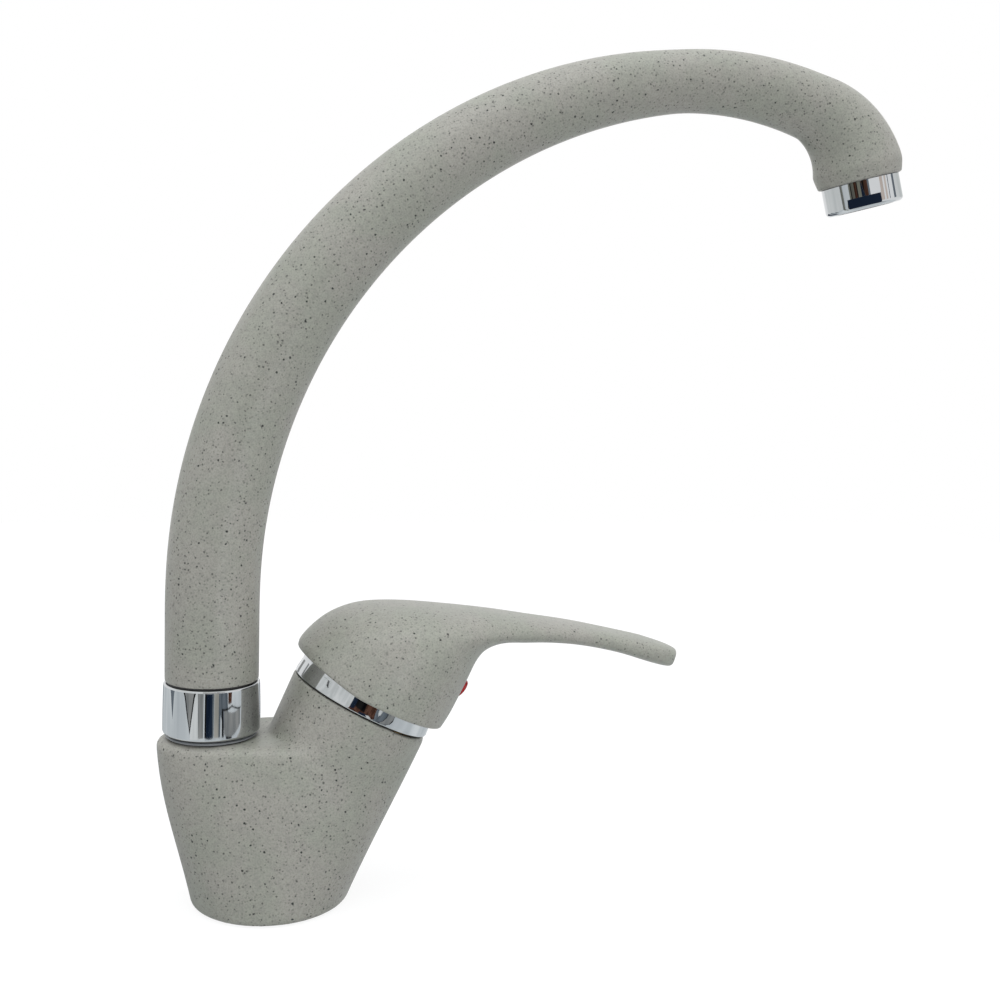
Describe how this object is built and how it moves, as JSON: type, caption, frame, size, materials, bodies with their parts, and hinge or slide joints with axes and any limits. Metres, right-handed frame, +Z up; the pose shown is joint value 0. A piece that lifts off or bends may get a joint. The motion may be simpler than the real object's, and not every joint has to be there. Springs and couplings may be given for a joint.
{
  "type": "kitchen faucet",
  "caption": "Deck-mounted single-lever kitchen mixer: tilted cartridge tower with a hooded lever, high curved swivel spout, chrome collar and band, granite-look paint.",
  "frame": {"origin": "centre of the round base, on the deck it stands on", "axes": "+Z up from the deck, +X towards the spout's mouth and the lever's tip at rest, +Y to the right of someone who looks along +X"},
  "size_m": [0.2553, 0.055, 0.2851],
  "materials": {
    "granite_paint": "satin granite-look paint with fine dark specks",
    "chrome": "polished chrome",
    "brass": "machined",
    "steel": "machined stainless steel",
    "black_rubber": "matt",
    "black_plastic": "moulded",
    "grey_plastic": "moulded",
    "white_plastic": "moulded",
    "ceramic": "lapped",
    "red_plastic": "moulded"
  },
  "bodies": {
    "mixer_body": {"body": "granite_paint", "base_gasket": "black_rubber", "neck_ring": "grey_plastic", "spout_collar": "chrome", "clamp_nut": "brass", "trim_ring": "chrome", "cartridge_housing": "white_plastic", "cartridge_base": "white_plastic", "port_seals": "black_rubber", "disc_seals": "black_rubber", "fixed_disc": "ceramic"},
    "swivel_spout": {"spout": "granite_paint", "spout_stub": "brass", "lower_o_ring": "black_rubber", "upper_o_ring": "black_rubber", "retaining_ring": "steel", "slide_washer": "black_plastic", "aerator_housing": "chrome", "aerator_washer": "black_rubber", "aerator_insert": "grey_plastic", "aerator_screen": "grey_plastic"},
    "turret": {"cartridge_rotor": "white_plastic", "pivot_pin": "steel"},
    "lever": {"lever_stem": "steel", "lever_handle": "granite_paint", "grub_screw": "steel", "index_plug": "red_plastic"},
    "disc_carriage": {"disc_carrier": "white_plastic", "moving_disc": "ceramic"}
  },
  "joints": [
    {"name": "spout_swivel", "type": "hinge", "parent": "mixer_body", "child": "swivel_spout", "pos_m": [-0.019, 0, 0.073], "axis": [0, 0, 1], "continuous": true},
    {"name": "lever_turn", "type": "hinge", "parent": "mixer_body", "child": "turret", "pos_m": [0.0288, 0, 0.0631], "axis": [0.4577, 0, 0.8891], "range_deg": [-50, 50]},
    {"name": "lever_lift", "type": "hinge", "parent": "turret", "child": "lever", "pos_m": [0.0288, 0, 0.0631], "axis": [0, -1, 0], "range_deg": [0, 25]},
    {"name": "disc_slide", "type": "slide", "parent": "turret", "child": "disc_carriage", "axis": [0.8891, 0, -0.4577], "range_m": [0, 0.00693]}
  ],
  "couplings": [
    {"joint": "disc_slide", "follows": "lever_lift", "m_per_rad": 0.015873}
  ]
}
